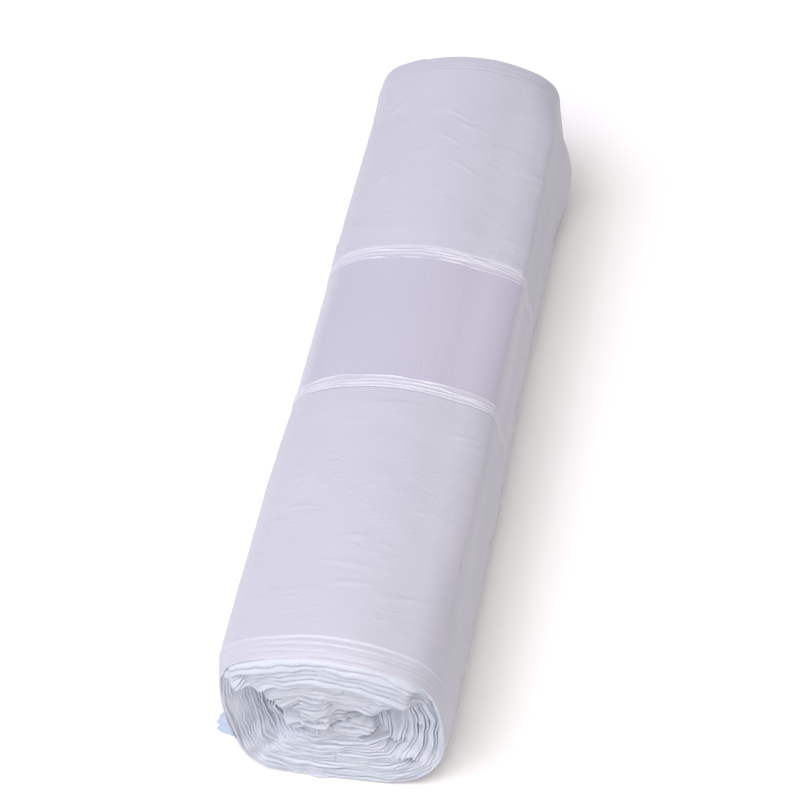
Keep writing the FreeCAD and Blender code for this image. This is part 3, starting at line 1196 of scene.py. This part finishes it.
@dataclass
class StretchBand:
    """Stretch-film band round the waist: a closed ring with bunched, wavy edges.

    The factors that multiply a ridge's number only set its waves apart from the next one's.
    """

    section: Section
    form: Form
    finish: bpy.types.Material
    low: float = -26.3
    high: float = 33.0
    flat_inset: float = 0.5
    inner_inset: float = 0.9
    pitch: float = 0.6
    edge_pitch: float = 0.2
    edge_zone: float = 7.0
    columns: int = 300
    ridges: tuple = (0.3, 1.5, 2.7, 4.4)
    ridge_height: float = 0.28
    strip_whiteness: float = 0.5
    ridge_spread: float = 0.24
    ridge_sway: Waves = Waves(0.9, 15.0, 1.0, 15.0, 0.0)
    ridge_wander: Waves = Waves(0.4, 4.5, 1.0, 4.5, 41.0)
    ridge_swell: Waves = Waves(0.7, 8.0, 1.0, 8.0, 29.0)
    ridge_breadth: Waves = Waves(0.6, 7.0, 1.0, 7.0, 13.0)
    edge_thinning: float = 0.3
    slack: Waves = Waves(0.1, 13.0, 60.0, 13.0, 13.0)
    bulges: Waves = Waves(0.04, 4.0, 45.0, 4.0, 17.0)
    fold_place: float = -12.3
    fold_step: float = 0.4
    fold_blur: float = 1.6
    fold_wander: Waves = Waves(0.8, 1.0, 25.0, 1.0, 61.0)

    def rows(self) -> list[tuple[float, bool]]:
        """Rows of the ring, over its outer side and back along its inner side.

        Returns:
            Y of each row, and whether the row is on the outer side.
        """
        places = [self.low]
        while places[-1] < self.high - self.edge_pitch:
            from_edge = min(places[-1] - self.low, self.high - places[-1])
            places.append(places[-1] + (self.edge_pitch if from_edge < self.edge_zone else self.pitch))
        outer = [(y, True) for y in places + [self.high]]
        inner = [(mix(self.high, self.low, step / 4), False) for step in range(5)]
        return outer + inner + outer[:1]

    def rise(self, along: float, x: float, y: float, z: float) -> float:
        """Height of the band's outer side above its flat inset.

        Args:
            along: length along the section from the middle of the top.
            x: place across the roll.
            y: place along the roll.
            z: height.

        Returns:
            Height in millimetres.
        """
        height = self.bunching(x, y, z) + self.slack.at(x, y, z)
        height += self.bulges.at(x, y, z)
        fold = self.fold_place + self.fold_wander.at(0.0, y, 0.0)
        raised = ease(fold - along, -self.fold_blur, self.fold_blur)
        return height + self.fold_step * raised * (1 - ease(-along, 20.0, 34.0))

    def bunching(self, x: float, y: float, z: float) -> float:
        """Height of the bunched film along the band's edges.

        Args:
            x: place across the roll.
            y: place along the roll.
            z: height.

        Returns:
            Height in millimetres, less than 0 at the very edge.
        """
        from_edge = min(y - self.low, self.high - y)
        seed = 3.0 if y < (self.low + self.high) / 2 else 9.0
        height = 0.0
        if from_edge > self.edge_zone:
            return height
        for number, place in enumerate(self.ridges):
            line = place + self.ridge_sway.at(x, 2.1 * number, z, seed + 3 * number)
            line += self.ridge_wander.at(x, number, z, seed)
            share = 0.85 + self.ridge_swell.at(x, 1.7 * number, z, seed)
            spread = self.ridge_spread * (1 + self.ridge_breadth.at(x, number, z, seed))
            height += self.ridge_height * max(share, 0.0) * bell(from_edge, line, spread)
        return height - self.edge_thinning * (1 - ease(from_edge, 0.0, 0.3))

    def whiteness(self, x: float, y: float, z: float) -> float:
        """How white the film looks because its turns lie bunched there.

        Args:
            x: place across the roll.
            y: place along the roll.
            z: height.

        Returns:
            Share from 0 to 1.
        """
        from_edge = min(y - self.low, self.high - y)
        strip = self.strip_whiteness * (1 - ease(from_edge, 3.0, 5.5))
        return max(strip, ease(self.bunching(x, y, z), 0.05, 0.3))

    def build(self) -> list[bpy.types.Object]:
        """Makes the band.

        Returns:
            The band alone.
        """
        rows = self.rows()
        half = self.section.perimeter / 2

        def place(share: float, row: int) -> tuple[float, float, float]:
            """Point of the ring.

            Args:
                share: share of the way round, from the middle of the underside.
                row: number of the row.

            Returns:
                x, y and z in millimetres.
            """
            y, outer = rows[row]
            along = (share * 2 - 1) * half
            x, z, across, up = self.section.at(along)
            inset = self.flat_inset - self.rise(along, x, y, z) if outer else self.inner_inset
            inset -= self.form.out(along, y)
            return (x - across * inset, y, max(z - up * inset, 0.0))

        sheet = film(self.columns, len(rows) - 1, place)
        bunched = sheet.verts.layers.float.new("bunched")
        for vertex in sheet.verts:
            vertex[bunched] = self.whiteness(*vertex.co)
        return [make_piece("stretch_band", sheet, self.finish, Slot.BAND, "wrap_band")]


@dataclass
class TornCorner:
    """Corner of the last bag, torn along its teeth, that stands out low on the left.

    Its outline gives x of the root inside the roll, z, and x of the torn edge.
    """

    section: Section
    finish: bpy.types.Material
    near_y: float = -124.9
    columns: int = 40
    rows: int = 6
    thickness: float = 0.12
    bow: float = 0.9
    bow_angle: float = 2.2
    flutter: Waves = Waves(0.3, 1.0, 3.0, 1.0, 5.0)
    outline: tuple = (
        (-31.3, 27.2, -31.5), (-31.2, 25.8, -32.3), (-31.1, 24.6, -33.2), (-31.0, 23.3, -33.6),
        (-30.8, 22.2, -34.0), (-30.7, 20.9, -34.9), (-30.6, 19.8, -34.1), (-30.5, 18.9, -34.5),
        (-30.3, 17.7, -35.3), (-30.1, 16.9, -34.6), (-29.8, 15.9, -34.0), (-29.4, 14.6, -31.2),
        (-28.9, 13.6, -29.0),
    )

    def build(self) -> list[bpy.types.Object]:
        """Makes the corner.

        Returns:
            The corner alone.
        """
        last = len(self.outline) - 1

        def place(share: float, row: int) -> tuple[float, float, float]:
            """Point of the corner.

            Args:
                share: share of the way down the outline.
                row: number of the row, from the root to the torn edge.

            Returns:
                x, y and z in millimetres.
            """
            spot = share * last
            before = min(int(spot), last - 1)
            part = spot - before
            first, second = self.outline[before], self.outline[before + 1]
            root, z, tip = (mix(a, b, part) for a, b in zip(first, second))
            out = row / self.rows
            y = self.near_y + self.bow * math.sin(self.bow_angle * out) + self.flutter.at(0.0, z, out)
            return (mix(root, tip, out), y, z)

        sheet = film(self.columns, self.rows, place)
        piece = make_piece("torn_corner", sheet, self.finish, Slot.BAGS, "bag_roll")
        thicken(piece, self.thickness)
        return [piece]


@dataclass
class Studio:
    """Plain pale floor, soft light and the camera of the photograph.

    Each lamp is given by its name, place and size in metres, power in watts and sRGB colour.
    """

    azimuth: float = 15.47
    elevation: float = 48.20
    roll: float = -6.89
    distance: float = 700.51
    target: tuple = (-2.33, -5.77, 30.0)
    lens: float = 100.746
    floor_size: float = 6.0
    tooth_scale: float = 900.0
    tooth_height: float = 0.00002
    sky_left: float = 0.2
    sky_right: float = 0.08
    lamps: tuple = (
        ("left", (-0.9, -0.6, 1.8), 1.5, 28.5, "F0F2FF"),
        ("front", (0.0, -1.2, 1.8), 1.3, 23.5, "FFFCF8"),
        ("right", (0.5, -0.5, 2.0), 0.9, 13.0, "FFF6EF"),
    )

    def floor(self) -> None:
        """Lays the floor, which isn't part of the roll."""
        sheet = bmesh.new()
        bmesh.ops.create_grid(sheet, x_segments=1, y_segments=1, size=self.floor_size / 2)
        mesh = bpy.data.meshes.new("studio_floor")
        sheet.to_mesh(mesh)
        sheet.free()
        material, tree, places = new_tree("studio_paper")
        tooth = add_node(tree, "ShaderNodeTexNoise", inputs={
            "Vector": places,
            "Scale": self.tooth_scale,
        })
        bump = add_node(tree, "ShaderNodeBump", inputs={
            "Distance": self.tooth_height,
            "Height": tooth.outputs["Fac"],
        })
        surface = add_node(tree, "ShaderNodeBsdfPrincipled", inputs={
            "Base Color": linear("FDFDFD"),
            "Roughness": 0.9,
            "Normal": bump.outputs["Normal"],
        })
        add_node(tree, "ShaderNodeOutputMaterial", inputs={"Surface": surface.outputs["BSDF"]})
        mesh.materials.append(material)
        floor = bpy.data.objects.new("studio_floor", mesh)
        bpy.context.scene.collection.objects.link(floor)

    def sky(self) -> None:
        """Lights the scene from all round, less from the right."""
        world = bpy.data.worlds.new("studio_sky")
        world.use_nodes = True
        tree = world.node_tree
        tree.nodes.clear()
        way = add_node(tree, "ShaderNodeTexCoord")
        parts = add_node(tree, "ShaderNodeSeparateXYZ", inputs={0: way.outputs["Generated"]})
        strength = add_node(tree, "ShaderNodeMapRange", inputs={
            "Value": parts.outputs["X"],
            "From Min": -1.0,
            "From Max": 1.0,
            "To Min": self.sky_left,
            "To Max": self.sky_right,
        })
        sky = add_node(tree, "ShaderNodeBackground", inputs={
            "Color": linear("FFFFFF"),
            "Strength": strength.outputs["Result"],
        })
        add_node(tree, "ShaderNodeOutputWorld", inputs={"Surface": sky.outputs[0]})
        bpy.context.scene.world = world

    def lamp(self, name: str, place: tuple, size: float, power: float, colour: str) -> None:
        """Hangs a soft square light that faces the roll.

        Args:
            name: the light's name.
            place: where it hangs, in metres.
            size: length of its sides, in metres.
            power: power in watts.
            colour: sRGB hex colour.
        """
        lamp = bpy.data.lights.new(name, "AREA")
        lamp.shape = "SQUARE"
        lamp.size = size
        lamp.energy = power
        lamp.color = linear(colour)[:3]
        holder = bpy.data.objects.new(name, lamp)
        holder.location = place
        holder.rotation_euler = (-Vector(place)).to_track_quat("-Z", "Y").to_euler()
        bpy.context.scene.collection.objects.link(holder)

    def camera(self) -> None:
        """Sets up the camera at the photograph's angle."""
        azimuth = math.radians(self.azimuth)
        elevation = math.radians(self.elevation)
        back = Vector((
            math.sin(azimuth) * math.cos(elevation),
            -math.cos(azimuth) * math.cos(elevation),
            math.sin(elevation),
        ))
        level = Vector((math.cos(azimuth), math.sin(azimuth), 0.0))
        upright = back.cross(level)
        turn = math.radians(self.roll)
        right = math.cos(turn) * level + math.sin(turn) * upright
        up = -math.sin(turn) * level + math.cos(turn) * upright
        spot = (Vector(self.target) + back * self.distance) * METRES
        data = bpy.data.cameras.new("photo_camera")
        data.sensor_width = 36.0
        data.lens = self.lens
        data.clip_start = 0.01
        data.clip_end = 20.0
        camera = bpy.data.objects.new("photo_camera", data)
        axes = Matrix((right, up, back)).transposed().to_4x4()
        camera.matrix_world = Matrix.Translation(spot) @ axes
        bpy.context.scene.collection.objects.link(camera)
        bpy.context.scene.camera = camera

    def build(self) -> None:
        """Sets up floor, light and camera."""
        self.floor()
        self.sky()
        for lamp in self.lamps:
            self.lamp(*lamp)
        self.camera()


def main() -> None:
    """Builds the studio and the roll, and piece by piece."""
    logging.basicConfig(level=logging.INFO, format="%(name)s: %(message)s", stream=sys.stdout)
    bpy.context.scene.view_settings.view_transform = "Standard"
    Studio().build()
    section = Section()
    skin_finish = BLOWN_SKIN.build()
    # The ends' finish carries painted bluish light
    edge_finish_painted_light = BLOWN_EDGES_PAINTED_LIGHT.build()
    form = Form()
    makers = [
        Skin(section, form, skin_finish),
        EndTurns(section, edge_finish_painted_light, End.NEAR),
        EndTurns(
            section, edge_finish_painted_light, End.FAR,
            seed=90.0, outreach=0.45, dents=(), faces=(), crumples=(),
        ),
        StretchBand(section, form, STRETCH_BAND.build()),
        # The torn corner's finish carries painted bluish light
        TornCorner(section, SINGLE_FILM_PAINTED_LIGHT.build()),
    ]
    for maker in makers:
        for piece in maker.build():
            log.info("%s: %d faces", piece.name, len(piece.data.polygons))


if __name__ == "__main__":
    main()
